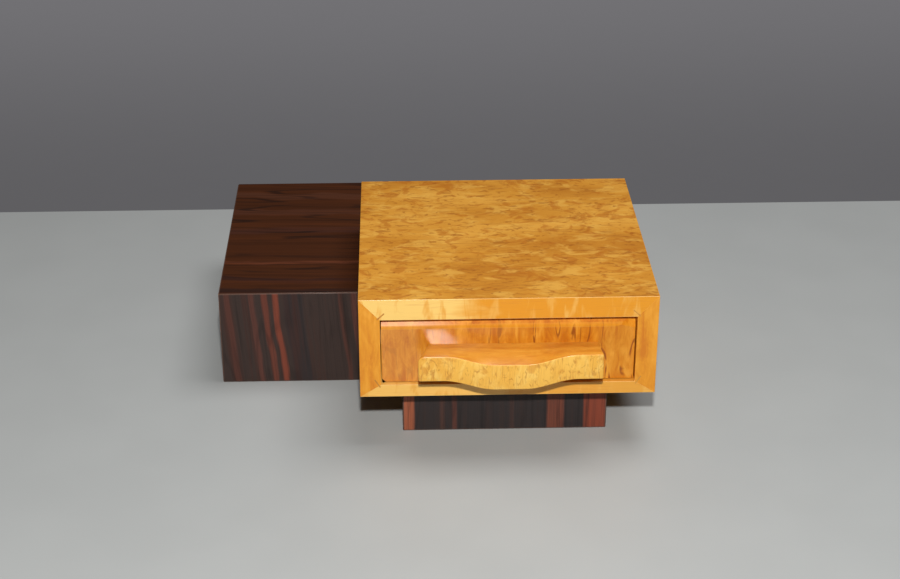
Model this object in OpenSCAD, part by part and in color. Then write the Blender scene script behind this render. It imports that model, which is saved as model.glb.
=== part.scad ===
// Wooden puzzle box: a light burl chest with a drawer stands on a dark plinth, and a dark side
// box slides along its left side on a dovetail rail. A loose pin in the plinth locks the drawer
// when the chest is turned over, and a hidden drawer closes the back of the side box.
// Millimetres, +Z up. The origin is the centre of the footprint, at the bottom.
// Modules draw in the chest's own frame (x from its left face, y back from its front face,
// z up from the table) and place() moves that frame onto the origin.

/* [Chest] */
// Width of the chest
chest_w = 130; // [120:1:150]
// Depth of the chest
chest_d = 130; // [125:1:150]
// Height of the chest's case, without the plinth
chest_h = 47.5; // [44:0.5:60]
// Thickness of the top board
top_t = 9.8; // [8:0.1:12]
// Thickness of the bottom board
bottom_t = 5.8; // [5:0.1:9]
// Thickness of the two side boards
side_t = 9.2; // [9:0.1:12]
// Thickness of the back panel
back_t = 7; // [5:0.5:10]

/* [Plinth] */
// Width of the plinth
plinth_w = 92; // [84:1:104]
// How far the plinth stands to the left of the chest's centre
plinth_shift = 0.4; // [0:0.1:2]
// How far the plinth's front stands behind the chest's front
plinth_setback = 13; // [10:1:20]
// Height of the plinth
plinth_h = 25.5; // [22:0.5:30]
// Thickness of the plinth boards
plinth_t = 8; // [6:0.5:10]

/* [Drawer] */
// How far the drawer front stands behind the chest's front
drawer_recess = 2.2; // [1:0.1:4]
// Gap round the drawer front
drawer_gap = 0.4; // [0.3:0.1:0.8]
// Thickness of the drawer front
drawer_front_t = 10; // [9:0.5:11]
// Thickness of the drawer sides and back
drawer_side_t = 7; // [6:0.5:8]

/* [Handle] */
// Width of the handle
handle_w = 80; // [60:1:90]
// How far the handle stands out from the chest's front
handle_out = 12; // [8:1:18]
// Height of the handle's front face
handle_h = 12.3; // [10:0.1:14]
// How far the handle's middle dips
handle_dip = 4.6; // [2:0.1:6]

/* [Side box] */
// Width of the side box
side_w = 66; // [60:1:80]
// Depth of the side box
side_d = 130; // [125:1:140]
// Height of the side box
side_h = 46.8; // [46:0.1:50]
// How far the side box stands behind the chest's front, which is also its travel
side_setback = 60.5; // [50:0.5:62]
// Thickness of the side box's boards, its front panel and the hidden drawer's front
wall_t = 6.5; // [6:0.5:7]

/* [Hidden] */
$fn = 48;

burl = [0.85, 0.60, 0.28];
maple = [0.93, 0.74, 0.42];
orange_wood = [0.82, 0.52, 0.22];
ebony = [0.25, 0.14, 0.11];
walnut = [0.42, 0.27, 0.17];
brass = [0.78, 0.62, 0.30];
steel = [0.70, 0.70, 0.72];

// The chest's case
case_x1 = chest_w;
case_z0 = plinth_h;
case_z1 = plinth_h + chest_h;
cavity_x0 = side_t;
cavity_x1 = chest_w - side_t;
cavity_z0 = case_z0 + bottom_t;
cavity_z1 = case_z1 - top_t;
cavity_y1 = chest_d - back_t;
spline_l = 4.5;
spline_t = 0.6;
spline_place = 0.08;    // share of the mitre's length, from its inner corner
spline_rise = 1.4;      // how far each stands above its mitre's middle, along itself

// The dovetail that carries the side box
rail_z = 38.2;
rail_neck = 6;
rail_flare = 9;
rail_out = 4.4;         // how far the rail reaches past the chest's left face
rail_in = 2;            // how deep its foot is let into the side box
rail_l = 54;
rail_play = 0.15;
side_gap = 0.2;         // between the chest and the side box
groove_y0 = 6.5;
dowel_r = 2;
dowel_y = chest_d - 4.5;
dowel_end = 0.4;

// The drawer
front_x0 = cavity_x0 + drawer_gap;
front_x1 = cavity_x1 - drawer_gap;
front_z0 = cavity_z0 + drawer_gap;
front_z1 = cavity_z1 - drawer_gap;
front_y0 = drawer_recess;
front_y1 = drawer_recess + drawer_front_t;
lap = 4;                // how far the drawer sides lap into the front
box_x0 = cavity_x0 + drawer_gap;
box_x1 = cavity_x1 - drawer_gap;
box_y1 = cavity_y1 - 5;
box_z0 = cavity_z0 + drawer_gap;
box_z1 = cavity_z1 - 5.5;
back_z1 = cavity_z1 - 1.5;
stop_h = 4;
stop_w = 7;
stop_y = front_y1 + 0.6;
runner_out = 3;
runner_h = 5;
runner_z = cavity_z0 + 13.2;
runner_play = 0.2;
floor_t = 3;
floor_z = cavity_z0 + 4.8;
floor_lap = 2.5;
drawer_pin_r = 1.25;
drawer_pin_l = 13;

// The handle
handle_x = chest_w / 2 + 0.4;
handle_z0 = case_z0 + 13.6;
handle_root_z0 = case_z0 + 15.4;
handle_root_z1 = case_z0 + 24.6;
handle_belly = 6.5;     // half width of the lowest part
handle_flat = 29.3;     // half width past which the front edge runs straight
handle_slant = 4.7;
handle_corner_r = 2.4;  // radius of the left end's upper corner
handle_steps = 24;
handle_screw_gap = 50;

// The drawer's lock
lock_x = chest_w / 2;
lock_y = 68;
lock_r = 3;
lock_play = 0.08;
lock_rest_gap = 0.8;    // between the pin's tip and the drawer's floor when it is down
lock_rail_d = 20;
lock_rail_z = 1;
plug_t = 3;
plug_r = 5;
keeper = 20;
keeper_hole_r = 4.6;
block_leg = 16;
block_z = 3;
block_screw = 4.6;

// The side box and its hidden drawer
box_right = -side_gap;
box_left = -side_gap - side_w;
box_front = side_setback;
box_back = side_setback + side_d;
panel_y0 = box_front + wall_t;    // the inner faces of the two end panels
panel_y1 = box_back - wall_t;
panel_gap = 0.15;       // round the hidden drawer's front
rail_y0 = panel_y0 + 0.5;
tray_gap = 0.3;
tray_t = 4;
tray_x0 = box_left + wall_t + tray_gap;
tray_x1 = box_right - wall_t - tray_gap;
tray_y0 = panel_y0 + 0.5;
tray_z0 = wall_t + tray_gap;
tray_z1 = side_h - wall_t - 1.8;
tray_floor_t = 3;
magnet_r = 2;
magnet_t = 3;
magnet_gap = 30;

total_w = chest_w + side_gap + side_w;
total_d = handle_out + side_setback + side_d;

// ---- helpers ----

// From the chest's frame to the part's origin
module place() {
    translate([total_w / 2 - chest_w, handle_out - total_d / 2, 0]) children();
}

// A rectangular block between two corners
module block(low, high) {
    translate(low) cube(high - low);
}

// An (x, z) outline drawn out along y
module along_y(y0, y1) {
    translate([0, y1, 0]) rotate([90, 0, 0]) linear_extrude(y1 - y0) children();
}

// A (y, z) outline drawn out along x
module along_x(x0, x1) {
    translate([x0, 0, 0]) rotate([90, 0, 90]) linear_extrude(x1 - x0) children();
}

// A cylinder along x or y, from a start point
module rod_x(start, length, r) {
    translate(start) rotate([0, 90, 0]) cylinder(h = length, r = r);
}
module rod_y(start, length, r) {
    translate(start) rotate([-90, 0, 0]) cylinder(h = length, r = r);
}

// A countersunk screw along +z, its head's face at z = 0
module screw(length, head_r, shank_r) {
    rotate_extrude() polygon([[0, 0], [head_r, 0], [shank_r, head_r - shank_r],
                              [shank_r, length - shank_r], [0, length]]);
}

// One board of a mitred frame between an outer and an inner rectangle, [x0, z0, x1, z1] each
function mitre_outline(outer, inner, board) =
    board == "top" ? [[outer[0], outer[3]], [outer[2], outer[3]],
                      [inner[2], inner[3]], [inner[0], inner[3]]]
    : board == "bottom" ? [[outer[0], outer[1]], [outer[2], outer[1]],
                           [inner[2], inner[1]], [inner[0], inner[1]]]
    : board == "left" ? [[outer[0], outer[1]], [outer[0], outer[3]],
                         [inner[0], inner[3]], [inner[0], inner[1]]]
    : [[outer[2], outer[1]], [outer[2], outer[3]], [inner[2], inner[3]], [inner[2], inner[1]]];

// ---- chest ----

case_outer = [0, case_z0, case_x1, case_z1];
case_inner = [cavity_x0, cavity_z0, cavity_x1, cavity_z1];

// The four tongues that hold the mitres, each square to its mitre
module splines() {
    for (i = [0, 2], j = [1, 3]) {
        run = [case_outer[i] - case_inner[i], case_outer[j] - case_inner[j]];
        centre = [case_inner[i], case_inner[j]] + spline_place * run;
        translate([centre[0], 0, centre[1]])
            rotate([0, -atan2(run[1], run[0]), 0])
                translate([0, 0, sign(run[0]) * spline_rise])
                    block([-spline_t / 2, 0, -spline_l / 2], [spline_t / 2, chest_d, spline_l / 2]);
    }
}

module case_board(board) {
    difference() {
        along_y(0, chest_d) polygon(mitre_outline(case_outer, case_inner, board));
        splines();
    }
}

// The dovetail's outline, widened by play on the groove
module dovetail(x0, x1, play) {
    polygon([[x0, rail_z - rail_neck / 2 - play], [0, rail_z - rail_neck / 2 - play],
             [x1, rail_z - rail_flare / 2 - play], [x1, rail_z + rail_flare / 2 + play],
             [0, rail_z + rail_neck / 2 + play], [x0, rail_z + rail_neck / 2 + play]]);
}

module case_top() {
    color(burl) place() case_board("top");
}

module case_bottom() {
    color(maple) place() difference() {
        case_board("bottom");
        translate([lock_x, lock_y, case_z0 - 1]) cylinder(h = bottom_t + 2, r = lock_r + lock_play);
        plinth_screw_set();
    }
}

module case_left_side() {
    color(burl) place() difference() {
        case_board("left");
        along_y(groove_y0, chest_d + 1) dovetail(-1, rail_out + 0.2, rail_play);
        rod_x([dowel_end, dowel_y, rail_z], side_t, dowel_r);
    }
}

module case_right_side() {
    color(burl) place() case_board("right");
}

module mitre_splines() {
    color(orange_wood) place() splines();
}

module case_back() {
    color(burl) place()
        block([cavity_x0, cavity_y1, cavity_z0], [cavity_x1, chest_d, cavity_z1]);
}

module runner(x0) {
    block([x0, front_y1 + 0.8, runner_z],
          [x0 + runner_out, cavity_y1 - 2, runner_z + runner_h]);
}

module runner_left() {
    color(maple) place() runner(cavity_x0);
}

module runner_right() {
    color(maple) place() runner(cavity_x1 - runner_out);
}

module drawer_stop() {
    color(maple) place()
        block([cavity_x0 + 10.5, stop_y, cavity_z1 - stop_h],
              [cavity_x1 - 10.5, stop_y + stop_w, cavity_z1]);
}

module rail_stop_dowel() {
    color(maple) place() rod_x([dowel_end, dowel_y, rail_z], side_t - dowel_end, dowel_r);
}

// ---- plinth ----

plinth_x0 = (chest_w - plinth_w) / 2 - plinth_shift;
plinth_x1 = plinth_x0 + plinth_w;
plinth_y0 = plinth_setback;
plinth_y1 = chest_d - plinth_setback;
plinth_outer = [plinth_x0, plinth_y0, plinth_x1, plinth_y1];
plinth_inner = [plinth_x0 + plinth_t, plinth_y0 + plinth_t,
                plinth_x1 - plinth_t, plinth_y1 - plinth_t];

module plinth_board(board) {
    color(ebony) place()
        linear_extrude(plinth_h) polygon(mitre_outline(plinth_outer, plinth_inner, board));
}

module plinth_front() { plinth_board("bottom"); }

module plinth_back() { plinth_board("top"); }

module plinth_left() { plinth_board("left"); }

module plinth_right() { plinth_board("right"); }

// Repeats its children in the plinth's four inner corners, turned so that the corner is at 0, 0
module in_corners() {
    for (i = [0, 1], j = [0, 1])
        translate([plinth_inner[2 * i], plinth_inner[1 + 2 * j], 0])
            mirror([i, 0, 0]) mirror([0, j, 0]) children();
}

module plinth_screw_set() {
    in_corners() translate([block_screw, block_screw, block_z])
        screw(plinth_h - block_z + 4, 3, 1.5);
}

module plinth_corner_blocks() {
    color(walnut) place() difference() {
        in_corners() translate([0, 0, block_z]) linear_extrude(plinth_h - block_z)
            polygon([[0, 0], [block_leg, 0], [0, block_leg]]);
        plinth_screw_set();
    }
}

module plinth_screws() {
    color(brass) place() plinth_screw_set();
}

module lock_cross_rail() {
    color(walnut) place() difference() {
        block([plinth_inner[0], lock_y - lock_rail_d / 2, lock_rail_z],
              [plinth_inner[2], lock_y + lock_rail_d / 2, plinth_h]);
        translate([lock_x, lock_y, 0]) cylinder(h = plinth_h + 1, r = lock_r + lock_play);
        translate([lock_x, lock_y, 0]) cylinder(h = lock_rail_z + plug_t, r = plug_r);
    }
}

module lock_pin_plug() {
    color(brass) place() translate([lock_x, lock_y, lock_rail_z]) cylinder(h = plug_t, r = plug_r);
}

// ---- lock pin, loose in its bore ----

module lock_pin() {
    pin_z0 = lock_rail_z + plug_t;
    color(steel) place() translate([lock_x, lock_y, pin_z0])
        cylinder(h = cavity_z0 - lock_rest_gap - pin_z0, r = lock_r);
}

// ---- drawer ----

module handle_screw_set() {
    for (side = [-1, 1]) {
        start = [handle_x + side * handle_screw_gap / 2, front_y1 + 2, handle_root_z0 + 4.5];
        rod_y(start - [0, 2, 0], 2, 3.2);
        rod_y(start - [0, 18, 0], 17, 1.5);
    }
}

module drawer_front() {
    color(orange_wood) place() difference() {
        block([front_x0, front_y0, front_z0], [front_x1, front_y1, front_z1]);
        side_solid(0);
        side_solid(1);
        drawer_pin_set();
        handle_screw_set();
    }
}

// Height of the handle's lower front edge over its lowest line: 1 at the ends, 0 in the middle
function handle_wave(x) =
    abs(x) >= handle_flat ? 1
    : 0.5 - 0.5 * cos(180 * max(0, abs(x) - handle_belly) / (handle_flat - handle_belly));

handle_xs = [for (i = [-handle_steps : handle_steps]) i * handle_w / (2 * handle_steps)];

// The left end's rounded upper corner, as far as the front face's height
handle_corner = [for (a = [0 : 15 : 90])
    [-handle_w / 2 + handle_corner_r * (1 - sin(a)),
     handle_z0 + handle_h - handle_corner_r * (1 - cos(a))]];

module drawer_handle() {
    lower = [for (x = handle_xs) [x, handle_z0 - handle_dip * (1 - handle_wave(x))]];
    upper = [for (i = [len(lower) - 1 : -1 : 2]) lower[i] + [0, handle_h]];
    color(maple) place() difference() {
        union() {
            intersection() {
                translate([handle_x, 0, 0]) along_y(-handle_out, front_y0)
                    polygon(concat(lower, upper, handle_corner));
                // Undercut from the drawer's face out to the front band
                along_x(0, chest_w) polygon([
                    [front_y0, handle_root_z0], [front_y0, handle_root_z1],
                    [-handle_out, handle_z0 + handle_h], [-handle_out, handle_z0 - handle_dip],
                    [-handle_out + 4, handle_z0 - handle_dip]]);
                // The left end slants in towards the drawer's face
                linear_extrude(case_z1) polygon([
                    [handle_x - handle_w / 2, -handle_out], [handle_x + handle_w / 2, -handle_out],
                    [handle_x + handle_w / 2 - 1, front_y0],
                    [handle_x - handle_w / 2 + handle_slant, front_y0]]);
            }
            // The straight root along the drawer's face
            along_x(handle_x - handle_w / 2 + handle_slant, handle_x + handle_w / 2 - 1)
                polygon([[front_y0, handle_root_z0], [front_y0, handle_root_z1],
                         [-handle_out / 2, handle_root_z0 + 3.5]]);
        }
        handle_screw_set();
    }
}

module handle_screws() {
    color(brass) place() handle_screw_set();
}

// A drawer side without its holes: 0 is the left one and 1 the right one
module side_solid(i) {
    x0 = i == 0 ? box_x0 : box_x1 - drawer_side_t;
    difference() {
        block([x0, front_y1 - lap, box_z0], [x0 + drawer_side_t, box_y1, box_z1]);
        block([i == 0 ? x0 - 1 : box_x1 - runner_out - runner_play, front_y1,
               runner_z - runner_play],
              [i == 0 ? box_x0 + runner_out + runner_play : box_x1 + 1, box_y1 + 1,
               runner_z + runner_h + runner_play]);
    }
}

module drawer_side(i) {
    color(maple) place() difference() {
        side_solid(i);
        floor_solid();
        drawer_pin_set();
    }
}

module drawer_left_side() { drawer_side(0); }

module drawer_right_side() { drawer_side(1); }

module drawer_pin_set() {
    for (y = [front_y1 - lap / 2, box_y1 - drawer_side_t / 2],
         z = [floor_z + 6.1, floor_z + 16.6]) {
        rod_x([box_x0, y, z], drawer_pin_l, drawer_pin_r);
        rod_x([box_x1 - drawer_pin_l, y, z], drawer_pin_l, drawer_pin_r);
    }
}

module drawer_pins() {
    color(ebony) place() drawer_pin_set();
}

module drawer_back() {
    color(maple) place() difference() {
        block([box_x0 + drawer_side_t, box_y1 - drawer_side_t, box_z0],
              [box_x1 - drawer_side_t, box_y1, back_z1]);
        drawer_pin_set();
    }
}

module floor_solid() {
    block([box_x0 + drawer_side_t - floor_lap, front_y1, floor_z],
          [box_x1 - drawer_side_t + floor_lap, box_y1 - drawer_side_t, floor_z + floor_t]);
}

module drawer_bottom() {
    color(maple) place() floor_solid();
}

module lock_keeper() {
    color(walnut) place() difference() {
        block([lock_x - keeper / 2, lock_y - keeper / 2, cavity_z0 + 0.8],
              [lock_x + keeper / 2, lock_y + keeper / 2, floor_z]);
        translate([lock_x, lock_y, cavity_z0]) cylinder(h = floor_z, r = keeper_hole_r);
    }
}

// ---- side box ----

side_outer = [box_left, 0, box_right, side_h];
side_inner = [box_left + wall_t, wall_t, box_right - wall_t, side_h - wall_t];

// A panel mitred all round, from its outer face at y0 to its inner face at y1
module mitred_panel(y0, y1, gap) {
    intersection() {
        along_x(box_left, box_right) polygon([
            [y0, gap], [y0, side_h - gap], [y1, side_h - gap - wall_t], [y1, gap + wall_t]]);
        linear_extrude(side_h) polygon([
            [box_left + gap, y0], [box_right - gap, y0],
            [box_right - gap - wall_t, y1], [box_left + gap + wall_t, y1]]);
    }
}

module carcase_board(board) {
    difference() {
        along_y(box_front, box_back) polygon(mitre_outline(side_outer, side_inner, board));
        mitred_panel(box_front, panel_y0, 0);
        mitred_panel(box_back, panel_y1, 0);
    }
}

// Two magnets side by side, starting at y0
module magnet_set(y0) {
    for (side = [-1, 1])
        rod_y([(box_left + box_right + side * magnet_gap) / 2, y0, side_h / 2],
              magnet_t, magnet_r);
}

module rail_solid() {
    along_y(rail_y0, rail_y0 + rail_l) dovetail(-side_gap - rail_in, rail_out, 0);
}

module rail_screw_set() {
    for (i = [0, 1, 2])
        translate([rail_out, rail_y0 + rail_l * (0.15 + 0.35 * i), rail_z])
            rotate([0, -90, 0]) screw(10, 2.2, 1.1);
}

module side_box_front() {
    color(ebony) place() difference() {
        mitred_panel(box_front, panel_y0, 0);
        magnet_set(panel_y0 - magnet_t);
    }
}

module side_box_top() {
    color(ebony) place() carcase_board("top");
}

module side_box_bottom() {
    color(ebony) place() carcase_board("bottom");
}

module side_box_left() {
    color(ebony) place() carcase_board("left");
}

module side_box_right() {
    color(ebony) place() difference() {
        carcase_board("right");
        rail_solid();
        rail_screw_set();
    }
}

module slide_rail() {
    color(walnut) place() difference() {
        rail_solid();
        rail_screw_set();
    }
}

module rail_screws() {
    color(brass) place() rail_screw_set();
}

module side_box_magnets() {
    color(steel) place() magnet_set(panel_y0 - magnet_t);
}

// ---- hidden drawer ----

module hidden_drawer_front() {
    color(ebony) place() mitred_panel(box_back, panel_y1, panel_gap);
}

module hidden_drawer_left_side() {
    color(maple) place()
        block([tray_x0, tray_y0, tray_z0], [tray_x0 + tray_t, panel_y1, tray_z1]);
}

module hidden_drawer_right_side() {
    color(maple) place()
        block([tray_x1 - tray_t, tray_y0, tray_z0], [tray_x1, panel_y1, tray_z1]);
}

module hidden_drawer_end() {
    color(maple) place() difference() {
        block([tray_x0 + tray_t, tray_y0, tray_z0],
              [tray_x1 - tray_t, tray_y0 + tray_t, tray_z1]);
        magnet_set(tray_y0);
    }
}

module hidden_drawer_bottom() {
    color(maple) place()
        block([tray_x0 + tray_t, tray_y0 + tray_t, tray_z0],
              [tray_x1 - tray_t, panel_y1, tray_z0 + tray_floor_t]);
}

module hidden_drawer_magnets() {
    color(steel) place() magnet_set(tray_y0);
}

case_top();
case_bottom();
case_left_side();
case_right_side();
mitre_splines();
case_back();
runner_left();
runner_right();
drawer_stop();
rail_stop_dowel();
plinth_front();
plinth_back();
plinth_left();
plinth_right();
plinth_corner_blocks();
plinth_screws();
lock_cross_rail();
lock_pin_plug();
lock_pin();
drawer_front();
drawer_handle();
handle_screws();
drawer_left_side();
drawer_right_side();
drawer_back();
drawer_bottom();
drawer_pins();
lock_keeper();
side_box_front();
side_box_top();
side_box_bottom();
side_box_left();
side_box_right();
slide_rail();
rail_screws();
side_box_magnets();
hidden_drawer_front();
hidden_drawer_left_side();
hidden_drawer_right_side();
hidden_drawer_end();
hidden_drawer_bottom();
hidden_drawer_magnets();
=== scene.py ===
"""The looks of the wooden puzzle box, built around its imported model.

Every place is in the part's own frame, in metres. Patterns in the wood are laid out in
millimetres, because that is how grain is measured.
"""

import math

import bmesh
import bpy
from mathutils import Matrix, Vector


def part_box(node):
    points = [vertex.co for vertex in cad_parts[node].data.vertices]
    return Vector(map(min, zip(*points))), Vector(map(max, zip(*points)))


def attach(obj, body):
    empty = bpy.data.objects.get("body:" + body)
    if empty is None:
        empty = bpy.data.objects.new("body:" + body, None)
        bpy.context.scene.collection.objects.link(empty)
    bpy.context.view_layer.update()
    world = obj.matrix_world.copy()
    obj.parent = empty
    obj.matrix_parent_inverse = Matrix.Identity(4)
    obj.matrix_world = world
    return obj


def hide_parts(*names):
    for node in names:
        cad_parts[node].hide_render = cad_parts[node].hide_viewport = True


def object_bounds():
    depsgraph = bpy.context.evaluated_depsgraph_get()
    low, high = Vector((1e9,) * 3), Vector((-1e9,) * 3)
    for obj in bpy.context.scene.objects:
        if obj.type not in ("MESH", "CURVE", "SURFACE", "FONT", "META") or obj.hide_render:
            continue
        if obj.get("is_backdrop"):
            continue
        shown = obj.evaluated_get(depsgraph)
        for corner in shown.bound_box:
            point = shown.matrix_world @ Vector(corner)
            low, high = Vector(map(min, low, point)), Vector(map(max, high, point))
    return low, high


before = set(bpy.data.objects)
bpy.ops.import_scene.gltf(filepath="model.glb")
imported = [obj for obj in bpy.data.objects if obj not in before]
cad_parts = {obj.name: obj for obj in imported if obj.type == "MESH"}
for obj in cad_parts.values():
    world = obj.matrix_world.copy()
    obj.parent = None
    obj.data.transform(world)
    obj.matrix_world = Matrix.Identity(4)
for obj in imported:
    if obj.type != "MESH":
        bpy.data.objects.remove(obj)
cad_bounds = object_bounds()

MM = 0.001

# The chest's own frame: its left face, its front face and the table
CHEST_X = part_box("case_left_side")[0].x
CHEST_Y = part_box("case_top")[0].y
CHEST_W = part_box("case_top")[1].x - CHEST_X
AXES = {
    "+x": Vector((1, 0, 0)),
    "-x": Vector((-1, 0, 0)),
    "+y": Vector((0, 1, 0)),
    "-y": Vector((0, -1, 0)),
    "+z": Vector((0, 0, 1)),
    "-z": Vector((0, 0, -1)),
}


def srgb(red, green, blue):
    """A colour as it looks on a screen, from 0 to 255, as the linear colour that nodes take."""
    shares = [value / 255 for value in (red, green, blue)]
    return tuple(s / 12.92 if s < 0.04045 else ((s + 0.055) / 1.055) ** 2.4 for s in shares) + (1,)


# ---- camera, light and floor ----

CAMERA_PLACE = Vector((CHEST_X + 0.0174, CHEST_Y - 0.6957, 0.4241))
CAMERA_TURN = math.radians(-1.818)
CAMERA_DOWN = math.radians(26.46)
CAMERA_LENS = 72.7
SENSOR = 36
KEY_FROM_CAMERA = Vector((0.006, 0, 0.165))     # a little above the lens
KEY_SIZE = 0.03
KEY_POWER = 8.0
OVERHEAD_PLACE = (0.3, 0.1, 1.3)
OVERHEAD_SIZE = 0.7
OVERHEAD_POWER = 8.5
ROOM_STRENGTH = 0.10
TABLE_BACK = 0.174      # the y of the table's back edge
TABLE_SIZE = 3.0
SLAB_T = 0.02
BACKDROP_Z = -0.5
BACKDROP_HALF = (3, 4)
GLOW_FROM = 1200        # y in mm where the backdrop's glow starts to grow
GLOW_TO = 2300


def add_camera():
    data = bpy.data.cameras.new("camera")
    data.lens = CAMERA_LENS
    data.sensor_width = SENSOR
    camera = bpy.data.objects.new("camera", data)
    camera.location = CAMERA_PLACE
    camera.rotation_euler = (math.pi / 2 - CAMERA_DOWN, 0, CAMERA_TURN)
    bpy.context.scene.collection.objects.link(camera)
    bpy.context.scene.camera = camera


def add_area_light(name, place, target, size, power, colour):
    """A square light at place that faces target."""
    data = bpy.data.lights.new(name, "AREA")
    data.size = size
    data.energy = power
    data.color = colour
    light = bpy.data.objects.new(name, data)
    light.location = place
    aim = Vector(target) - Vector(place)
    light.rotation_euler = aim.to_track_quat("-Z", "Y").to_euler()
    bpy.context.scene.collection.objects.link(light)


def add_lights():
    middle = (CHEST_X + CHEST_W / 2, 0, 0.04)
    key = CAMERA_PLACE + KEY_FROM_CAMERA
    add_area_light("key", key, middle, KEY_SIZE, KEY_POWER, (1.0, 0.98, 0.95))
    add_area_light(
        "overhead", OVERHEAD_PLACE, (0, 0, 0), OVERHEAD_SIZE, OVERHEAD_POWER, (1.0, 0.99, 0.98)
    )
    world = bpy.data.worlds.new("room")
    world.use_nodes = True
    background = world.node_tree.nodes["Background"]
    background.inputs["Color"].default_value = srgb(118, 119, 124)
    background.inputs["Strength"].default_value = ROOM_STRENGTH
    bpy.context.scene.world = world
    bpy.context.scene.view_settings.view_transform = "Standard"


# ---- materials ----


class Graph:
    """One material's nodes. Each call adds nodes and returns the socket that comes out of them."""

    def __init__(self, name):
        self.material = bpy.data.materials.new(name)
        self.material.use_nodes = True
        self.tree = self.material.node_tree
        self.shader = self.tree.nodes["Principled BSDF"]

    def put(self, socket, value):
        if isinstance(value, bpy.types.NodeSocket):
            self.tree.links.new(value, socket)
        else:
            socket.default_value = value

    def add(self, kind, inputs, **settings):
        node = self.tree.nodes.new(kind)
        for key, value in settings.items():
            setattr(node, key, value)
        for key, value in inputs.items():
            self.put(node.inputs[key], value)
        return node

    def grain(self, order, origin=(0, 0, 0), slant=0.0):
        """Millimetres from origin, turned by slant and reordered: x along the grain, y across."""
        coords = self.tree.nodes.new("ShaderNodeTexCoord").outputs["Object"]
        shift = tuple(-value / MM for value in origin)
        scale = (1 / MM, 1 / MM, 1 / MM)
        place = self.add(
            "ShaderNodeMapping", {"Vector": coords, "Scale": scale, "Location": shift}
        )
        parts = self.add("ShaderNodeSeparateXYZ", {"Vector": place.outputs[0]}).outputs
        ordered = self.join(*(parts["xyz".index(letter)] for letter in order))
        turned = self.add("ShaderNodeMapping", {"Vector": ordered, "Rotation": (0, 0, slant)})
        return turned.outputs[0]

    def scaled(self, vector, along, across, shift=0.0):
        """Pattern units: along and across are features per millimetre."""
        node = self.add(
            "ShaderNodeMapping",
            {"Vector": vector, "Scale": (along, across, across), "Location": (shift,) * 3},
        )
        return node.outputs[0]

    def noise(self, vector, detail=3, roughness=0.5, distortion=0.0):
        inputs = {"Vector": vector, "Scale": 1, "Detail": detail}
        inputs.update({"Roughness": roughness, "Distortion": distortion})
        return self.add("ShaderNodeTexNoise", inputs).outputs["Fac"]

    def math(self, operation, first, second=0.0):
        node = self.add("ShaderNodeMath", {}, operation=operation)
        self.put(node.inputs[0], first)
        self.put(node.inputs[1], second)
        return node.outputs[0]

    def spread(self, value, low, high, out_low=0.0, out_high=1.0):
        """Takes low..high to out_low..out_high, smoothly and clamped."""
        inputs = {"Value": value, "From Min": low, "From Max": high}
        inputs.update({"To Min": out_low, "To Max": out_high})
        return self.add("ShaderNodeMapRange", inputs, interpolation_type="SMOOTHSTEP").outputs[0]

    def ramp(self, value, stops):
        """A colour ramp: stops are (position, colour)."""
        node = self.add("ShaderNodeValToRGB", {"Fac": value})
        elements = node.color_ramp.elements
        while len(elements) < len(stops):
            elements.new(1.0)
        for element, (position, colour) in zip(elements, stops):
            element.position = position
            element.color = colour
        return node.outputs["Color"]

    def mix(self, share, first, second, blend="MIX"):
        node = self.add("ShaderNodeMix", {}, data_type="RGBA", blend_type=blend)
        self.put(node.inputs[0], share)
        self.put(node.inputs[6], first)
        self.put(node.inputs[7], second)
        return node.outputs[2]

    def part(self, vector, letter):
        return self.add("ShaderNodeSeparateXYZ", {"Vector": vector}).outputs["xyz".index(letter)]

    def join(self, x, y, z):
        return self.add("ShaderNodeCombineXYZ", {"X": x, "Y": y, "Z": z}).outputs[0]

    def worn(self, colour, tint, share):
        """The colour, turned towards tint on the rounded edges, where the finish is thin."""
        arris = self.add("ShaderNodeAttribute", {}, attribute_name="arris").outputs["Fac"]
        return self.mix(self.math("MULTIPLY", arris, share), colour, tint)

    def finish(
        self,
        colour,
        height,
        bump,
        roughness,
        coat=0.0,
        coat_roughness=0.1,
        metallic=0.0,
        specular=0.5,
    ):
        """Sends the colour, roughness and bump to the shader."""
        normal = self.add(
            "ShaderNodeBump", {"Height": height, "Strength": bump, "Distance": 0.1 * MM}
        )
        self.put(self.shader.inputs["Normal"], normal.outputs[0])
        self.put(self.shader.inputs["Base Color"], colour)
        self.put(self.shader.inputs["Roughness"], roughness)
        self.put(self.shader.inputs["Metallic"], metallic)
        self.put(self.shader.inputs["Specular IOR Level"], specular)
        self.put(self.shader.inputs["Coat Weight"], coat)
        self.put(self.shader.inputs["Coat Roughness"], coat_roughness)
        return self.material


BURL_TONES = {
    "pale": srgb(226, 164, 66),
    "mid": srgb(210, 144, 48),
    "deep": srgb(192, 124, 36),
    "light": srgb(232, 178, 80),
    "blotch": srgb(180, 102, 22),
    "fleck": srgb(156, 88, 22),
    "line": srgb(150, 86, 28),
}


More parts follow.
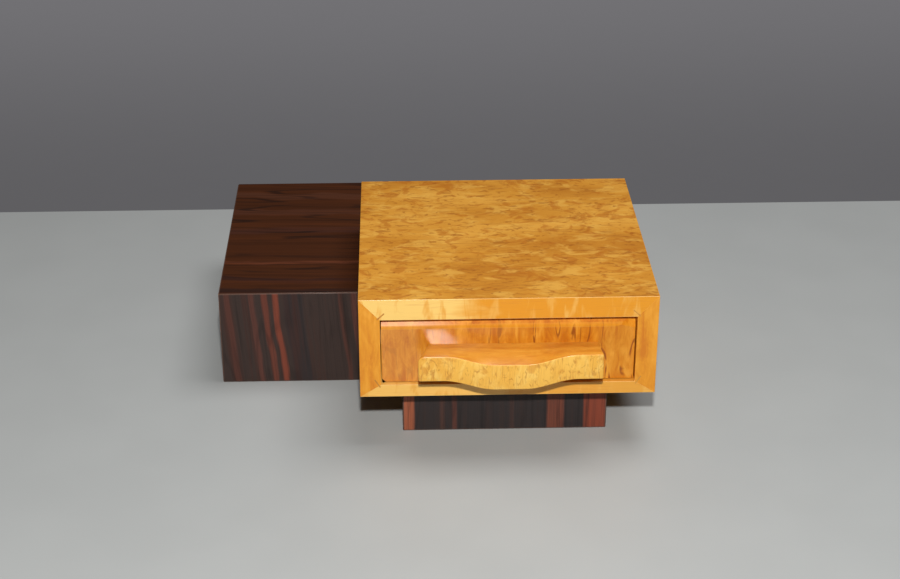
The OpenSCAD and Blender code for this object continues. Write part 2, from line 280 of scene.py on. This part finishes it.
def burl(name, order, tones, size=1.0, coat=0.2):
    """Golden burl: brown flecks and blotches lying along the grain, and fine dark lines."""
    g = Graph(name)
    place = g.scaled(g.grain(order, (CHEST_X, CHEST_Y, 0)), 1 / size, 1 / size)
    patches = g.noise(g.scaled(place, 0.016, 0.030, 3.1), 2, 0.5, 0.3)
    blotches = g.noise(g.scaled(place, 0.075, 0.105, 11.3), 4, 0.6, 1.2)
    flecks = g.noise(g.scaled(place, 0.18, 0.40, 7.7), 3, 0.6, 1.0)
    light = g.noise(g.scaled(place, 0.070, 0.14, 1.9), 4, 0.6, 0.7)
    fibre = g.noise(g.scaled(place, 0.09, 2.4, 5.3), 2, 0.5)
    where = g.noise(g.scaled(place, 0.04, 0.09, 8.4), 2, 0.5)
    stops = [(0.34, tones["pale"]), (0.52, tones["mid"]), (0.68, tones["deep"])]
    colour = g.ramp(patches, stops)
    colour = g.mix(g.spread(light, 0.48, 0.64, 0.0, 0.60), colour, tones["light"])
    colour = g.mix(g.spread(blotches, 0.52, 0.64, 0.0, 0.60), colour, tones["blotch"])
    colour = g.mix(g.spread(flecks, 0.54, 0.66, 0.0, 0.60), colour, tones["fleck"])
    lines = g.math("MULTIPLY", g.spread(fibre, 0.54, 0.70), g.spread(where, 0.40, 0.60, 0.10, 0.65))
    colour = g.mix(lines, colour, tones["line"])
    colour = g.worn(colour, tones["light"], 0.3)
    height = g.math("ADD", fibre, flecks)
    return g.finish(colour, height, 0.08, 0.5, coat, 0.16, specular=0.3)


def rail(name, order, pale, deep, turn_at, lean):
    """The edge of a board: bands of figure across its grain, pale up to turn_at, deep past it.

    lean is how far the border between the two leans along x for each millimetre across.
    """
    g = Graph(name)
    place = g.grain(order, (CHEST_X, CHEST_Y, 0))
    bands = g.noise(g.scaled(place, 0.17, 0.035, 2.3), 3, 0.6, 0.4)
    cloud = g.noise(g.scaled(place, 0.05, 0.10, 9.0), 3, 0.5, 0.6)
    fibre = g.noise(g.scaled(place, 0.10, 2.2, 4.4), 2, 0.5)
    along = g.math("ADD", g.part(place, "x"), g.math("MULTIPLY", g.part(place, "y"), lean))
    wander = g.math("MULTIPLY", g.math("SUBTRACT", cloud, 0.5), 30)
    side = g.spread(g.math("ADD", along, wander), turn_at - 9, turn_at + 9)
    colour = g.mix(side, pale, deep)
    colour = g.mix(g.spread(bands, 0.51, 0.68, 0.0, 0.45), colour, pale)
    colour = g.mix(g.spread(bands, 0.47, 0.36, 0.0, 0.65), colour, deep)
    colour = g.mix(g.spread(fibre, 0.54, 0.72, 0.0, 0.22), colour, srgb(196, 120, 48))
    colour = g.worn(colour, srgb(255, 226, 160), 0.5)
    return g.finish(colour, fibre, 0.06, 0.45, 0.3, 0.15, specular=0.3)


def streaked(
    name, order, pale, mid, dark, line_share=0.5, line_from=None, gloss=None, sheen=None
):
    """Figured wood, mottled and streaked along the grain, with thin broken dark lines.

    gloss is the finish's thickness and the stretch of x over which it thins out; sheen is the
    same for a softer shine in place of the finish.
    """
    g = Graph(name)
    place = g.grain(order, (CHEST_X, CHEST_Y, 0))
    streaks = g.noise(g.scaled(place, 0.025, 0.20, 1.7), 4, 0.6, 0.5)
    mottle = g.noise(g.scaled(place, 0.09, 0.20, 6.2), 4, 0.6, 1.4)
    fibre = g.noise(g.scaled(place, 0.10, 2.8, 8.8), 2, 0.5)
    colour = g.ramp(
        g.math("ADD", g.math("MULTIPLY", streaks, 0.6), g.math("MULTIPLY", mottle, 0.4)),
        [(0.38, dark), (0.50, mid), (0.62, pale)],
    )
    if line_share:
        bend = g.noise(g.scaled(place, 0.016, 0.110, 3.9), 2, 0.5, 0.4)
        ridge = g.math("ABSOLUTE", g.math("SUBTRACT", bend, 0.5))
        line = g.spread(ridge, 0.020, 0.006, 0.0, line_share)
        broken = g.noise(g.scaled(place, 0.14, 0.14, 2.8), 2, 0.5)
        line = g.math("MULTIPLY", line, g.spread(broken, 0.36, 0.52))
        if line_from is not None:
            far = g.spread(g.part(place, "y"), line_from - 12, line_from + 12, 0.25, 1.0)
            line = g.math("MULTIPLY", line, far)
        colour = g.mix(line, colour, srgb(150, 80, 14))
    colour = g.mix(g.spread(fibre, 0.54, 0.74, 0.0, 0.20), colour, dark)
    colour = g.worn(colour, pale, 0.4)
    coat = 0.25
    specular = 0.3
    x = g.part(g.grain("xyz", (CHEST_X, CHEST_Y, 0)), "x")
    if gloss:
        coat = g.spread(x, gloss[1], gloss[2], gloss[0], 0.1)
    if sheen:
        coat = 0.0
        specular = g.spread(x, sheen[1], sheen[2], sheen[0], 0.06)
    height = g.math("ADD", fibre, mottle)
    return g.finish(colour, height, 0.05, 0.42, coat, 0.18, specular=specular)


GROUND = srgb(56, 43, 39)
RED = srgb(128, 62, 44)
DULL_RED = srgb(84, 50, 42)


def stripe_stops(ground, stripes, blur):
    """Stops for a ramp from 0 to 1 in ground, with (start, end, colour) stripes on it."""
    stops = [(0.0, ground)]
    for start, end, colour in stripes:
        stops += [(start - blur, ground), (start, colour), (end, colour), (end + blur, ground)]
    return stops


def striped(name, order, width, stripes, origin, slant=0.0, wave=5.0, tone=None, rings=0.25):
    """Black-brown wood with reddish stripes at set shares of its width, and finer streaks.

    wave is how far the stripes wander across, in mm. tone is the ground, the colour of the
    brighter streaks and how dark the others are; rings is how dark its growth rings are.
    """
    g = Graph(name)
    place = g.grain(order, origin, slant)
    wander = g.noise(g.scaled(place, 0.030, 0.022, 4.1), 2, 0.5)
    shift = g.math("MULTIPLY", g.math("SUBTRACT", wander, 0.5), wave)
    across = g.math("ADD", g.part(place, "y"), shift)
    ragged = g.noise(g.scaled(place, 0.05, 0.9, 9.3), 3, 0.6)
    across = g.math("ADD", across, g.math("MULTIPLY", g.math("SUBTRACT", ragged, 0.5), 1.6))
    streaks = g.noise(g.scaled(place, 0.009, 0.30, 6.6), 4, 0.6, 0.3)
    fine = g.noise(g.scaled(place, 0.03, 1.8, 2.2), 2, 0.5)
    ground, glow, depth = tone or (GROUND, srgb(66, 36, 28), 0.8)
    colour = g.ramp(g.math("DIVIDE", across, width), stripe_stops(ground, stripes, 0.012))
    colour = g.mix(g.spread(streaks, 0.48, 0.70, 0.0, 0.6), colour, glow)
    shade = [0.45 * value for value in ground[:3]] + [1]
    colour = g.mix(g.spread(streaks, 0.46, 0.28, 0.0, depth), colour, shade)
    contour = g.noise(g.scaled(place, 0.006, 0.060, 5.7), 2, 0.4)
    ring = g.math("PINGPONG", g.math("MULTIPLY", contour, 22.0), 1.0)
    thin = g.spread(ring, 0.34, 0.06, 0.0, rings)
    faint = g.noise(g.scaled(place, 0.02, 0.10, 7.1), 2, 0.5)
    colour = g.mix(g.math("MULTIPLY", thin, g.spread(faint, 0.38, 0.60)), colour, srgb(22, 14, 12))
    colour = g.mix(g.spread(fine, 0.52, 0.72, 0.0, 0.25), colour, srgb(26, 18, 16))
    colour = g.worn(colour, srgb(110, 84, 72), 0.5)
    return g.finish(colour, fine, 0.06, 0.5, 0.08, 0.18, specular=0.2)


def plain_wood(name, order, light, dark, roughness=0.55, coat=0.1):
    """Straight-grained wood with growth lines and fibres."""
    g = Graph(name)
    place = g.grain(order)
    growth = g.noise(g.scaled(place, 0.008, 0.28, 3.0), 3, 0.55, 0.4)
    fibre = g.noise(g.scaled(place, 0.09, 2.6, 5.0), 2, 0.5)
    colour = g.ramp(growth, [(0.36, dark), (0.62, light)])
    colour = g.mix(g.spread(fibre, 0.52, 0.72, 0.0, 0.3), colour, dark)
    colour = g.worn(colour, light, 0.3)
    return g.finish(colour, fibre, 0.15, roughness, coat, 0.2)


def metal(name, bright, dull, roughness):
    """Turned metal with fine scratches and a little tarnish."""
    g = Graph(name)
    place = g.grain("xyz")
    tarnish = g.noise(g.scaled(place, 0.4, 0.4), 3, 0.6)
    scratch = g.noise(g.scaled(place, 0.5, 9.0), 2, 0.5)
    colour = g.mix(g.spread(tarnish, 0.4, 0.65), bright, dull)
    rough = g.spread(scratch, 0.3, 0.7, roughness, roughness + 0.15)
    return g.finish(colour, scratch, 0.15, rough, metallic=1.0)


# ---- meshes ----

NEAR = 0.01 * MM
SAME_POINT = 0.001 * MM
FLAT_ANGLE = math.radians(1)
SHARP_ANGLE = math.radians(35)


def joined_mesh(node):
    """A CAD node's mesh with its corners merged and its flat faces made whole."""
    bm = bmesh.new()
    bm.from_mesh(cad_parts[node].data)
    bmesh.ops.remove_doubles(bm, verts=bm.verts, dist=SAME_POINT)
    bmesh.ops.dissolve_limit(bm, angle_limit=FLAT_ANGLE, verts=bm.verts[:], edges=bm.edges[:])
    return bm


def lies_on(edge, axis, value):
    """Whether the edge lies in the plane where its axis-th coordinate is value."""
    return all(abs(vert.co[axis] - value) < NEAR for vert in edge.verts)


def on_box(edge, low, high):
    """How many faces of the box low..high the edge lies in."""
    limits = [(axis, value) for axis in range(3) for value in (low[axis], high[axis])]
    return sum(lies_on(edge, axis, value) for axis, value in limits)


def rounded(bm, name, width_of, segments=3):
    """Rounds each sharp edge by width_of(edge), in metres, and returns the new object.

    Its "arris" attribute is 1 on the rounded faces, where the materials show wear.
    """
    bm.edges.index_update()
    widths = {}
    for edge in bm.edges:
        if len(edge.link_faces) == 2 and edge.calc_face_angle() > SHARP_ANGLE:
            widths[edge.index] = width_of(edge)
    widest = max(widths.values())
    weights = bm.edges.layers.float.new("bevel_weight_edge")
    for edge in bm.edges:
        edge[weights] = widths.get(edge.index, 0.0) / widest
    mesh = bpy.data.meshes.new(name)
    bm.to_mesh(mesh)
    bm.free()
    draft = bpy.data.objects.new(name + "_draft", mesh)
    bpy.context.scene.collection.objects.link(draft)
    bevel = draft.modifiers.new("round", "BEVEL")
    bevel.width = widest
    bevel.limit_method = "WEIGHT"
    bevel.segments = segments
    bevel.use_clamp_overlap = False
    flat = {tuple(round(c, 3) for c in p.normal) for p in mesh.polygons}
    graph = bpy.context.evaluated_depsgraph_get()
    final = bpy.data.meshes.new_from_object(draft.evaluated_get(graph))
    bpy.data.objects.remove(draft)
    final.name = name
    arris = final.attributes.new("arris", "FLOAT", "FACE")
    for polygon, value in zip(final.polygons, arris.data):
        rounded_face = tuple(round(c, 3) for c in polygon.normal) not in flat
        polygon.use_smooth = rounded_face
        value.value = float(rounded_face)
    piece = bpy.data.objects.new(name, final)
    bpy.context.scene.collection.objects.link(piece)
    return piece


def paint(piece, materials):
    """Gives each face the material of the axis that it faces most, or that of "rest"."""
    keys = list(materials)
    for key in keys:
        piece.data.materials.append(materials[key])
    sides = [key for key in keys if key in AXES]
    for polygon in piece.data.polygons:
        best = max(AXES, key=lambda key: AXES[key].dot(polygon.normal))
        polygon.material_index = keys.index(best if best in sides else "rest")


def add_board(node, body, materials, outer=0.4, inner=0.12):
    """A board with its outer arrises softened by outer and its other edges by inner, in mm."""
    low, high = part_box(node)

    def width_of(edge):
        return (outer if on_box(edge, low, high) >= 2 else inner) * MM

    piece = rounded(joined_mesh(node), node + "_board", width_of)
    paint(piece, materials)
    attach(piece, body)
    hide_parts(node)


def repaint(nodes, material):
    """Gives CAD nodes whose shape is right a better material."""
    for node in nodes:
        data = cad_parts[node].data
        data.materials.clear()
        data.materials.append(material)


# ---- the drawer's front and its handle ----

SLOPE_H = 4.2           # height of the slope along the front's upper edge
SLOPE_D = 3.0           # depth of that slope
SLOPE_ROUND = 1.1       # rounding along its foot
CORNER_ROUND = 2.0      # radius of the lower left corner
CORNER_STEPS = 8
FRONT_OUTER = 0.35      # rounding of the front's outer edges
FRONT_INNER = 0.08      # and of its other edges


def add_drawer_front(face, slope):
    """The drawer's front, with a slope along its upper edge in a material of its own."""
    low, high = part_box("drawer_front")
    bm = joined_mesh("drawer_front")
    foot = high.z - SLOPE_H * MM
    top = [e for e in bm.edges if lies_on(e, 1, low.y) and lies_on(e, 2, high.z)]
    bmesh.ops.bevel(
        bm, geom=top, offset=SLOPE_H * MM, segments=1, affect="EDGES", clamp_overlap=False
    )
    for vert in bm.verts:
        if vert.co.z > high.z - NEAR and vert.co.y < low.y + SLOPE_H * MM + NEAR:
            vert.co.y = low.y + SLOPE_D * MM
    corner = [
        e
        for e in bm.edges
        if lies_on(e, 0, low.x) and lies_on(e, 2, low.z) and e.verts[0].co.y != e.verts[1].co.y
    ]
    bmesh.ops.bevel(
        bm,
        geom=corner,
        offset=CORNER_ROUND * MM,
        segments=CORNER_STEPS,
        profile=0.5,
        affect="EDGES",
        clamp_overlap=False,
    )

    def width_of(edge):
        if lies_on(edge, 1, low.y) and lies_on(edge, 2, foot):
            return SLOPE_ROUND * MM
        return (FRONT_OUTER if on_box(edge, low, high) >= 2 else FRONT_INNER) * MM

    piece = rounded(bm, "drawer_front_board", width_of, 5)
    paint(piece, {"rest": face})
    piece.data.materials.append(slope)
    for polygon in piece.data.polygons:
        if polygon.normal.y < -0.2 and 0.12 < polygon.normal.z < 0.9:
            polygon.material_index = 1
    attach(piece, "drawer")
    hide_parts("drawer_front")


def arc_corner(before, corner, after, radius, steps):
    """Points that round a corner of an outline in (y, z)."""
    if radius == 0:
        return [corner]
    first = (before - corner).normalized()
    second = (after - corner).normalized()
    half = first.angle(second) / 2
    reach = radius / math.tan(half)
    centre = corner + (first + second).normalized() * (radius / math.sin(half))
    start = corner + first * reach - centre
    stop = corner + second * reach - centre
    sweep = start.angle(stop)
    points = []
    for i in range(steps + 1):
        share = i / steps
        blend = math.sin((1 - share) * sweep) * start + math.sin(share * sweep) * stop
        points.append(centre + blend / math.sin(sweep))
    return points


HANDLE_BELLY = 6.5      # half width of the lowest part
HANDLE_FLAT = 29.3      # half width past which the front edge runs straight
HANDLE_DIP = 4.6        # how far its middle dips
HANDLE_SLANT = 4.7      # how far the left end leans in towards the drawer's face
HANDLE_SLANT_RIGHT = 1
HANDLE_CORNER = 2.4     # radius of the left end's upper corner
HANDLE_ROOT = (15.4, 24.6)      # where it meets the drawer, above the case's underside
HANDLE_H = 12.3         # height of its front face
HANDLE_STATIONS = 120
END_RADIUS = 0.5        # rounding along each end's outline
END_STEPS = 4
HANDLE_SHARP = math.radians(40)


def handle_section(x, half, low, high, root):
    """The handle's outline in (y, z), in mm, at x from its middle, where it is half wide."""
    reach = (abs(x) - HANDLE_BELLY) / (HANDLE_FLAT - HANDLE_BELLY)
    wave = 0.5 - 0.5 * math.cos(math.pi * min(max(reach, 0), 1))
    top = high.z / MM - (1 - wave) * HANDLE_DIP
    bottom = top - HANDLE_H
    turn = max(HANDLE_CORNER - (x + half), 0)
    top -= HANDLE_CORNER - math.sqrt(max(HANDLE_CORNER**2 - turn**2, 0))
    rise = top - root[1]
    front = low.y / MM
    back = high.y / MM
    # each corner of the outline, and the radius that rounds it
    corners = [
        (Vector((back, root[0])), 0),
        (Vector((back, root[1])), 0),
        (Vector((front * 0.5 + back * 0.5, root[1] + rise * 0.42)), 8),
        (Vector((front, top)), 0.5),
        (Vector((front + 0.2, bottom)), 0.6),
        (Vector((front + 4.5, bottom + 0.6)), 1.5),
    ]
    outline = []
    for i, (corner, radius) in enumerate(corners):
        before = corners[i - 1][0]
        after = corners[(i + 1) % len(corners)][0]
        outline += arc_corner(before, corner, after, radius, 5)
    return outline


def add_handle(materials):
    """The carved handle: a section swept along x, whose front edge dips in a soft wave."""
    low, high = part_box("drawer_handle")
    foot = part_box("case_bottom")[0].z / MM
    root = [foot + height for height in HANDLE_ROOT]
    middle = (low.x + high.x) / 2 / MM
    half = (high.x - low.x) / 2 / MM
    depth = (high.y - low.y) / MM
    front = low.y / MM
    shares = [-1 + 2 * i / HANDLE_STATIONS for i in range(HANDLE_STATIONS + 1)]
    rings = [(share * (half - END_RADIUS), 0.0) for share in shares]
    for i in range(1, END_STEPS + 1):
        turn = i / END_STEPS * math.pi / 2
        out = half - END_RADIUS + END_RADIUS * math.sin(turn)
        inset = END_RADIUS * (1 - math.cos(turn))
        rings.insert(0, (-out, inset))
        rings.append((out, inset))
    bm = bmesh.new()
    loops = []
    for x, inset in rings:
        outline = handle_section(x, half, low, high, root)
        centre = sum(outline, Vector((0, 0))) / len(outline)
        loop = []
        for point in outline:
            share = (point.x - front) / depth
            left = -half + HANDLE_SLANT * share
            right = half - HANDLE_SLANT_RIGHT * share
            place_x = middle + left + (x + half) / (2 * half) * (right - left)
            away = (centre - point).normalized() * inset
            loop.append(bm.verts.new(Vector((place_x, point.x + away.x, point.y + away.y)) * MM))
        loops.append(loop)
    for first, second in zip(loops, loops[1:]):
        for i in range(len(first)):
            j = (i + 1) % len(first)
            bm.faces.new((first[i], first[j], second[j], second[i]))
    bm.faces.new(loops[0])
    bm.faces.new(reversed(loops[-1]))
    bmesh.ops.recalc_face_normals(bm, faces=bm.faces[:])
    for face in bm.faces:
        face.smooth = True
    for edge in bm.edges:
        if edge.calc_face_angle(0) > HANDLE_SHARP:
            edge.smooth = False
    mesh = bpy.data.meshes.new("handle")
    bm.to_mesh(mesh)
    bm.free()
    mesh.attributes.new("arris", "FLOAT", "FACE")
    piece = bpy.data.objects.new("handle", mesh)
    bpy.context.scene.collection.objects.link(piece)
    paint(piece, materials)
    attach(piece, "drawer")
    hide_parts("drawer_handle")


# ---- floor ----


def add_slab(name, low, high, material):
    """A box from low to high that is part of the stage."""
    bm = bmesh.new()
    bmesh.ops.create_cube(bm, size=1)
    for vert in bm.verts:
        shares = vert.co + Vector((0.5, 0.5, 0.5))
        vert.co = Vector(
            start + (stop - start) * share for start, stop, share in zip(low, high, shares)
        )
    mesh = bpy.data.meshes.new(name)
    bm.to_mesh(mesh)
    bm.free()
    mesh.materials.append(material)
    slab = bpy.data.objects.new(name, mesh)
    bpy.context.scene.collection.objects.link(slab)
    slab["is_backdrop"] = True


def stage_paint(name, colour, roughness, glow=None):
    """A plain matt surface; glow is how much it shines by itself, near and far."""
    g = Graph(name)
    place = g.grain("xyz")
    cloud = g.noise(g.scaled(place, 0.02, 0.02), 2, 0.5)
    shade = g.mix(g.spread(cloud, 0.3, 0.7), colour, tuple(0.97 * c for c in colour[:3]) + (1,))
    # painted light: the backdrop shines by itself, more towards the far side, in place of light
    # falling on it
    if glow:
        glow_share = g.spread(g.part(place, "y"), GLOW_FROM, GLOW_TO, *glow)
        g.put(g.shader.inputs["Emission Color"], colour)
        g.put(g.shader.inputs["Emission Strength"], glow_share)
    return g.finish(shade, cloud, 0.02, roughness)


def add_stage():
    half = TABLE_SIZE / 2
    table = stage_paint("table", srgb(174, 177, 177), 0.55)
    # the backdrop's painted light glows from 0.5 near to 0.95 far
    grey = stage_paint("backdrop", srgb(112, 111, 114), 0.9, (0.5, 0.95))
    add_slab("table", (-half, TABLE_BACK - TABLE_SIZE, -SLAB_T), (half, TABLE_BACK, 0), table)
    wide, deep = BACKDROP_HALF
    add_slab("backdrop", (-wide, -deep, BACKDROP_Z - SLAB_T), (wide, deep, BACKDROP_Z), grey)


# ---- all of it ----


def build_chest():
    """The chest's case. Returns the maple of the drawers, the runners and the inner faces."""
    top = burl("burl_top", "xyz", BURL_TONES)
    side = burl("burl_side", "yzx", BURL_TONES)
    yellow = srgb(243, 201, 112)
    orange = srgb(224, 148, 26)
    inner = plain_wood("inner_maple", "yxz", srgb(222, 182, 122), srgb(192, 144, 86))
    rail_top = rail("rail_top", "xzy", yellow, orange, 76, 0.4)
    rail_low = rail("rail_low", "xzy", srgb(236, 184, 92), srgb(224, 158, 56), 70, 0.0)
    stile = streaked(
        "stile",
        "zxy",
        srgb(230, 158, 48),
        srgb(220, 144, 32),
        srgb(204, 120, 22),
        line_share=0,
    )
    boards = (
        ("top", "+z", top, rail_top),
        ("bottom", "-z", top, rail_low),
        ("left_side", "-x", side, stile),
        ("right_side", "+x", side, stile),
    )
    for board, outside, face, edge in boards:
        materials = {outside: face, "-y": edge, "+y": edge, "rest": edge}
        add_board("case_" + board, "root", materials, 0.15, 0.03)
    back = streaked("back_wood", "zxy", srgb(232, 168, 84), srgb(212, 142, 62), srgb(180, 108, 42))
    add_board("case_back", "root", {"rest": back}, 0.4)
    spline = plain_wood("spline_wood", "zyx", srgb(204, 140, 44), srgb(180, 114, 30), 0.45, 0.3)
    repaint(("mitre_splines",), spline)
    for node in ("runner_left", "runner_right", "drawer_stop", "rail_stop_dowel"):
        add_board(node, "root", {"rest": inner}, 0.3)
    return inner


def build_dark(inner):
    """The side box, its hidden drawer and the plinth, with striped wood outside."""
    low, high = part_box("side_box_front")
    x0 = low.x
    y0 = low.y
    width = (high.x - x0) / MM
    depth = (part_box("side_box_left")[1].y - y0) / MM
    front = striped(
        "stripes_front",
        "zxy",
        width,
        [
            (0.04, 0.07, DULL_RED),
            (0.215, 0.24, DULL_RED),
            (0.305, 0.335, srgb(98, 52, 40)),
            (0.38, 0.41, srgb(118, 58, 42)),
            (0.46, 0.58, srgb(46, 38, 38)),
            (0.845, 0.865, srgb(76, 46, 38)),
            (0.93, 0.96, DULL_RED),
        ],
        (x0, 0, high.z),
        slant=math.radians(4.5),
        wave=4.0,
    )
    warm = (srgb(68, 34, 14), srgb(84, 42, 18), 0.5)
    top = striped(
        "stripes_top",
        "xyz",
        depth,
        [
            (0.01, 0.05, srgb(48, 27, 20)),
            (0.12, 0.14, srgb(54, 29, 21)),
            (0.265, 0.272, srgb(98, 52, 32)),
            (0.52, 0.56, srgb(70, 38, 26)),
            (0.70, 0.74, srgb(78, 43, 27)),
            (0.86, 0.90, srgb(80, 45, 28)),
        ],
        (x0, y0, 0),
        slant=math.radians(2),
        wave=12.0,
        tone=warm,
        rings=0.6,
    )
    side = striped(
        "stripes_side",
        "yzx",
        high.z / MM,
        [(0.10, 0.14, RED), (0.40, 0.50, DULL_RED), (0.62, 0.64, RED), (0.80, 0.92, DULL_RED)],
        (x0, y0, 0),
        slant=math.radians(3),
        wave=8.0,
        tone=warm,
    )
    back = striped(
        "stripes_back",
        "zxy",
        width,
        [(0.10, 0.14, RED), (0.22, 0.30, DULL_RED), (0.62, 0.66, RED), (0.84, 0.92, DULL_RED)],
        (x0, 0, 0),
        slant=math.radians(5),
    )
    outside = {"top": "+z", "bottom": "-z", "left": "-x", "right": "+x"}
    inside = {"top": "-z", "bottom": "+z", "left": "+x", "right": "-x"}
    skins = {"top": top, "bottom": top, "left": side, "right": side}
    for board, skin in skins.items():
        materials = {outside[board]: skin, inside[board]: inner, "rest": skin}
        add_board("side_box_" + board, "side_box", materials, 0.5)
    add_board("side_box_front", "side_box", {"+y": inner, "rest": front}, 0.5)
    add_board("hidden_drawer_front", "hidden_drawer", {"rest": back}, 0.5)
    for name in ("left_side", "right_side", "end", "bottom"):
        add_board("hidden_drawer_" + name, "hidden_drawer", {"rest": inner}, 0.3)

    low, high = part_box("plinth_front")
    plinth = striped(
        "stripes_plinth",
        "zxy",
        (high.x - low.x) / MM,
        [
            (0.005, 0.05, srgb(150, 84, 58)),
            (0.19, 0.20, srgb(70, 48, 42)),
            (0.25, 0.26, DULL_RED),
            (0.53, 0.54, srgb(64, 46, 42)),
            (0.715, 0.785, srgb(108, 60, 46)),
            (0.895, 1.0, RED),
        ],
        (low.x, 0, 0),
        wave=2.0,
        tone=(srgb(46, 40, 40), srgb(56, 40, 36), 0.7),
    )
    left_low, left_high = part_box("plinth_left")
    sides = striped(
        "stripes_plinth_side",
        "zyx",
        (left_high.y - left_low.y) / MM,
        [(0.10, 0.14, RED), (0.44, 0.50, DULL_RED), (0.70, 0.80, RED)],
        left_low,
    )
    for name, material in (("front", plinth), ("back", plinth), ("left", sides), ("right", sides)):
        add_board("plinth_" + name, "root", {"rest": material}, 0.7)


def build_drawer(inner):
    """The drawer and its handle, and the brown blocks and rails of the lock, slide and plinth."""
    shine = (1.0, 40, 76)
    pale = srgb(222, 152, 48)
    mid = srgb(206, 129, 24)
    dark = srgb(188, 106, 12)
    drawer = streaked(
        "drawer_wood", "zxy", pale, mid, dark, line_share=1.0, line_from=60, gloss=shine
    )
    slope = streaked(
        "drawer_slope", "zxy", pale, mid, dark, line_share=1.0, line_from=60, sheen=(0.45, 24, 50)
    )
    add_drawer_front(drawer, slope)
    tones = {
        "pale": srgb(242, 190, 84),
        "mid": srgb(234, 176, 68),
        "deep": srgb(218, 152, 48),
        "light": srgb(244, 202, 104),
        "blotch": srgb(208, 140, 44),
        "fleck": srgb(184, 120, 38),
        "line": srgb(184, 116, 38),
    }
    face = burl("handle_face", "zxy", tones, 0.7, 0.4)
    flat = streaked(
        "handle_top",
        "xyz",
        srgb(222, 156, 56),
        srgb(210, 140, 42),
        srgb(196, 122, 30),
        line_share=0.1,
        gloss=shine,
    )
    add_handle({"-y": face, "rest": flat})
    for name in ("left_side", "right_side", "back", "bottom"):
        add_board("drawer_" + name, "drawer", {"rest": inner}, 0.4)
    block = plain_wood("block_wood", "xyz", srgb(120, 82, 54), srgb(84, 54, 36))
    add_board("lock_keeper", "drawer", {"rest": block}, 0.3)
    add_board("lock_cross_rail", "root", {"rest": block}, 0.4)
    add_board("slide_rail", "side_box", {"rest": block}, 0.3)
    add_board("plinth_corner_blocks", "root", {"rest": block}, 0.4)


def build_fixings():
    """Screws, plug, lock pin, magnets and the drawer's pins, whose CAD shapes stay."""
    brass = metal("brass", srgb(214, 176, 98), srgb(168, 128, 66), 0.25)
    steel = metal("steel", srgb(190, 190, 194), srgb(140, 140, 146), 0.22)
    pegs = plain_wood("peg_wood", "xyz", srgb(70, 44, 34), srgb(40, 26, 22), 0.45, 0.4)
    repaint(("plinth_screws", "handle_screws", "rail_screws", "lock_pin_plug"), brass)
    repaint(("lock_pin", "side_box_magnets", "hidden_drawer_magnets"), steel)
    repaint(("drawer_pins",), pegs)


add_camera()
add_lights()
add_stage()
maple = build_chest()
build_dark(maple)
build_drawer(maple)
build_fixings()
bounds = {"cad": cad_bounds, "visual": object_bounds()}
{key: [list(corner) for corner in box] for key, box in bounds.items()}
